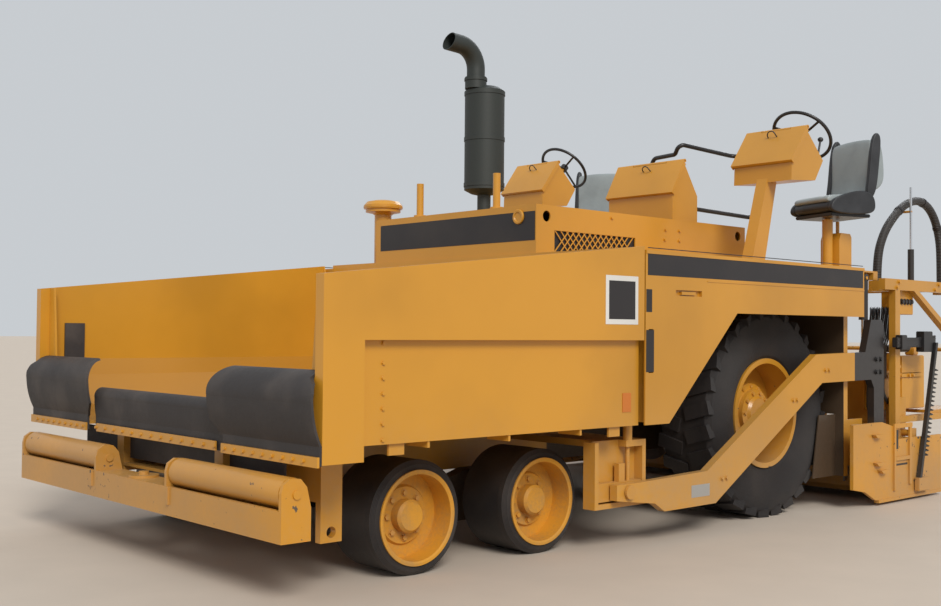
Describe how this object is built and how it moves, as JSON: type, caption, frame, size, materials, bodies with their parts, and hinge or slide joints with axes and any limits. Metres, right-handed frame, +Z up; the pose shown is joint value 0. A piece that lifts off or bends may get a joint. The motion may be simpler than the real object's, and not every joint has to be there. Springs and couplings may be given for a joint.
{
  "type": "asphalt paver",
  "caption": "Wheeled asphalt paver: front hopper with folding wings, push rollers, raised engine hood, side operator stations, tow arms, augers and extending screed.",
  "frame": {"origin": "centre of the machine's bounding box, on the ground", "axes": "+X forward (hopper end), +Y to the machine's left, +Z up"},
  "size_m": [6.432, 3.1, 3.2013],
  "materials": {
    "yellow_paint": "satin",
    "dark_paint": "satin",
    "worn_steel": "worn",
    "cast_parts": "rough",
    "exhaust_steel": "matt",
    "belting": "matt",
    "tyre_rubber": "matt",
    "seat_vinyl": "satin"
  },
  "bodies": {
    "tractor": {"main_frame": "yellow_paint", "axles": "cast_parts", "hopper_floor": "worn_steel", "side_bodies": "yellow_paint", "deck": "yellow_paint", "hood": "yellow_paint", "engine": "cast_parts", "exhaust": "exhaust_steel", "hood_fittings": "yellow_paint", "guard_rails": "dark_paint", "consoles": "yellow_paint", "seat_posts": "yellow_paint", "hopper_apron": "belting", "beam_pivot": "cast_parts"},
    "push_beam": {"push_beam": "yellow_paint"},
    "push_roller_left": {"push_roller_left": "yellow_paint"},
    "push_roller_right": {"push_roller_right": "yellow_paint"},
    "wing_left": {"hopper_wing_left": "yellow_paint", "wing_flap_left": "belting"},
    "wing_right": {"hopper_wing_right": "yellow_paint", "wing_flap_right": "belting"},
    "knuckle_left_1": {"knuckle_left_1": "yellow_paint"},
    "front_wheel_left_1": {"front_wheel_left_1": "tyre_rubber"},
    "knuckle_left_2": {"knuckle_left_2": "yellow_paint"},
    "front_wheel_left_2": {"front_wheel_left_2": "tyre_rubber"},
    "knuckle_right_1": {"knuckle_right_1": "yellow_paint"},
    "front_wheel_right_1": {"front_wheel_right_1": "tyre_rubber"},
    "knuckle_right_2": {"knuckle_right_2": "yellow_paint"},
    "front_wheel_right_2": {"front_wheel_right_2": "tyre_rubber"},
    "rear_wheel_left": {"rear_rim_left": "yellow_paint", "rear_tyre_left": "tyre_rubber"},
    "rear_wheel_right": {"rear_rim_right": "yellow_paint", "rear_tyre_right": "tyre_rubber"},
    "steering_wheel_left": {"steering_wheel_left": "dark_paint"},
    "steering_wheel_right": {"steering_wheel_right": "dark_paint"},
    "console_lid_left": {"console_lid_left": "yellow_paint"},
    "console_lid_right": {"console_lid_right": "yellow_paint"},
    "centre_lid": {"centre_lid": "yellow_paint"},
    "seat_left": {"seat_left": "seat_vinyl"},
    "seat_right": {"seat_right": "seat_vinyl"},
    "tow_point_left": {"tow_point_left": "yellow_paint"},
    "tow_point_right": {"tow_point_right": "yellow_paint"},
    "screed": {"tow_arms": "yellow_paint", "screed": "yellow_paint", "hose_arch": "belting"},
    "screed_extension_left": {"screed_extension_left": "yellow_paint"},
    "end_gate_left": {"end_gate_left": "yellow_paint"},
    "screed_extension_right": {"screed_extension_right": "yellow_paint"},
    "end_gate_right": {"end_gate_right": "yellow_paint"},
    "auger_left": {"auger_left": "worn_steel"},
    "auger_right": {"auger_right": "worn_steel"},
    "lift_barrel_left": {"lift_barrel_left": "dark_paint"},
    "lift_rod_left": {"lift_rod_left": "dark_paint"},
    "lift_barrel_right": {"lift_barrel_right": "dark_paint"},
    "lift_rod_right": {"lift_rod_right": "dark_paint"}
  },
  "joints": [
    {"name": "push_beam_swing", "type": "hinge", "parent": "tractor", "child": "push_beam", "pos_m": [2.984, 0, 0.35], "axis": [0, 0, 1], "range_deg": [-4, 4]},
    {"name": "push_roller_spin_left", "type": "hinge", "parent": "push_beam", "child": "push_roller_left", "pos_m": [3.13, 0.9, 0.49], "axis": [0, 1, 0], "continuous": true},
    {"name": "push_roller_spin_right", "type": "hinge", "parent": "push_beam", "child": "push_roller_right", "pos_m": [3.13, -0.9, 0.49], "axis": [0, 1, 0], "continuous": true},
    {"name": "wing_fold_left", "type": "hinge", "parent": "tractor", "child": "wing_left", "pos_m": [2.084, 0.748, 0.655], "axis": [1, 0, 0], "range_deg": [0, 50]},
    {"name": "wing_fold_right", "type": "hinge", "parent": "tractor", "child": "wing_right", "pos_m": [2.084, -0.748, 0.655], "axis": [-1, 0, 0], "range_deg": [0, 50]},
    {"name": "steer_left_1", "type": "hinge", "parent": "tractor", "child": "knuckle_left_1", "pos_m": [2.29, 0.8, 0.2815], "axis": [0, 0, 1], "range_deg": [-20, 20]},
    {"name": "front_wheel_spin_left_1", "type": "hinge", "parent": "knuckle_left_1", "child": "front_wheel_left_1", "pos_m": [2.29, 1.0555, 0.2815], "axis": [0, 1, 0], "continuous": true},
    {"name": "steer_left_2", "type": "hinge", "parent": "tractor", "child": "knuckle_left_2", "pos_m": [1.421, 0.8, 0.2815], "axis": [0, 0, 1], "range_deg": [-20, 20]},
    {"name": "front_wheel_spin_left_2", "type": "hinge", "parent": "knuckle_left_2", "child": "front_wheel_left_2", "pos_m": [1.421, 1.0555, 0.2815], "axis": [0, 1, 0], "continuous": true},
    {"name": "steer_right_1", "type": "hinge", "parent": "tractor", "child": "knuckle_right_1", "pos_m": [2.29, -0.8, 0.2815], "axis": [0, 0, 1], "range_deg": [-20, 20]},
    {"name": "front_wheel_spin_right_1", "type": "hinge", "parent": "knuckle_right_1", "child": "front_wheel_right_1", "pos_m": [2.29, -1.0555, 0.2815], "axis": [0, 1, 0], "continuous": true},
    {"name": "steer_right_2", "type": "hinge", "parent": "tractor", "child": "knuckle_right_2", "pos_m": [1.421, -0.8, 0.2815], "axis": [0, 0, 1], "range_deg": [-20, 20]},
    {"name": "front_wheel_spin_right_2", "type": "hinge", "parent": "knuckle_right_2", "child": "front_wheel_right_2", "pos_m": [1.421, -1.0555, 0.2815], "axis": [0, 1, 0], "continuous": true},
    {"name": "rear_wheel_spin_left", "type": "hinge", "parent": "tractor", "child": "rear_wheel_left", "pos_m": [-0.616, 1.12, 0.675], "axis": [0, 1, 0], "continuous": true},
    {"name": "rear_wheel_spin_right", "type": "hinge", "parent": "tractor", "child": "rear_wheel_right", "pos_m": [-0.616, -1.12, 0.675], "axis": [0, 1, 0], "continuous": true},
    {"name": "steering_wheel_turn_left", "type": "hinge", "parent": "tractor", "child": "steering_wheel_left", "pos_m": [-1.276, 1.15, 2.597], "axis": [-0.6984, 0, 0.7157], "range_deg": [-360, 360]},
    {"name": "steering_wheel_turn_right", "type": "hinge", "parent": "tractor", "child": "steering_wheel_right", "pos_m": [-1.276, -1.15, 2.597], "axis": [-0.6984, 0, 0.7157], "range_deg": [-360, 360]},
    {"name": "console_lid_open_left", "type": "hinge", "parent": "tractor", "child": "console_lid_left", "pos_m": [-0.961, 1.15, 2.592], "axis": [0, -1, 0], "range_deg": [0, 100]},
    {"name": "console_lid_open_right", "type": "hinge", "parent": "tractor", "child": "console_lid_right", "pos_m": [-0.961, -1.15, 2.592], "axis": [0, -1, 0], "range_deg": [0, 100]},
    {"name": "centre_lid_open", "type": "hinge", "parent": "tractor", "child": "centre_lid", "pos_m": [-1.066, -0.035, 2.49], "axis": [0, -1, 0], "range_deg": [0, 100]},
    {"name": "seat_swivel_left", "type": "hinge", "parent": "tractor", "child": "seat_left", "pos_m": [-1.616, 1.15, 2], "axis": [0, 0, 1], "range_deg": [-40, 40]},
    {"name": "seat_swivel_right", "type": "hinge", "parent": "tractor", "child": "seat_right", "pos_m": [-1.616, -1.15, 2], "axis": [0, 0, 1], "range_deg": [-40, 40]},
    {"name": "tow_point_lift_left", "type": "slide", "parent": "tractor", "child": "tow_point_left", "axis": [0, 0, 1], "range_m": [0, 0.08]},
    {"name": "tow_point_lift_right", "type": "slide", "parent": "tractor", "child": "tow_point_right", "axis": [0, 0, 1], "range_m": [0, 0.08]},
    {"name": "screed_lift", "type": "hinge", "parent": "tow_point_left", "child": "screed", "pos_m": [0.999, 0, 0.32], "axis": [0, 1, 0], "range_deg": [0, 5]},
    {"name": "extension_slide_left", "type": "slide", "parent": "screed", "child": "screed_extension_left", "axis": [0, 1, 0], "range_m": [0, 1.2]},
    {"name": "end_gate_lift_left", "type": "slide", "parent": "screed_extension_left", "child": "end_gate_left", "axis": [0, 0, 1], "range_m": [0, 0.15]},
    {"name": "extension_slide_right", "type": "slide", "parent": "screed", "child": "screed_extension_right", "axis": [0, -1, 0], "range_m": [0, 1.2]},
    {"name": "end_gate_lift_right", "type": "slide", "parent": "screed_extension_right", "child": "end_gate_right", "axis": [0, 0, 1], "range_m": [0, 0.15]},
    {"name": "auger_spin_left", "type": "hinge", "parent": "tractor", "child": "auger_left", "pos_m": [-1.616, 0.7, 0.33], "axis": [0, 1, 0], "continuous": true},
    {"name": "auger_spin_right", "type": "hinge", "parent": "tractor", "child": "auger_right", "pos_m": [-1.616, -0.7, 0.33], "axis": [0, 1, 0], "continuous": true},
    {"name": "lift_barrel_swing_left", "type": "hinge", "parent": "tractor", "child": "lift_barrel_left", "pos_m": [-1.716, 1.376, 1.6], "axis": [0, 1, 0], "range_deg": [-4, 10]},
    {"name": "lift_rod_slide_left", "type": "slide", "parent": "lift_barrel_left", "child": "lift_rod_left", "axis": [0, 0, 1], "range_m": [0, 0.2]},
    {"name": "lift_barrel_swing_right", "type": "hinge", "parent": "tractor", "child": "lift_barrel_right", "pos_m": [-1.716, -1.376, 1.6], "axis": [0, 1, 0], "range_deg": [-4, 10]},
    {"name": "lift_rod_slide_right", "type": "slide", "parent": "lift_barrel_right", "child": "lift_rod_right", "axis": [0, 0, 1], "range_m": [0, 0.2]}
  ],
  "couplings": [
    {"joint": "steer_left_2", "follows": "steer_left_1", "ratio": 1},
    {"joint": "steer_right_1", "follows": "steer_left_1", "ratio": 1},
    {"joint": "steer_right_2", "follows": "steer_left_1", "ratio": 1},
    {"joint": "steering_wheel_turn_left", "follows": "steer_left_1", "ratio": 18},
    {"joint": "steering_wheel_turn_right", "follows": "steer_left_1", "ratio": 18},
    {"joint": "tow_point_lift_right", "follows": "tow_point_lift_left", "ratio": 1}
  ]
}
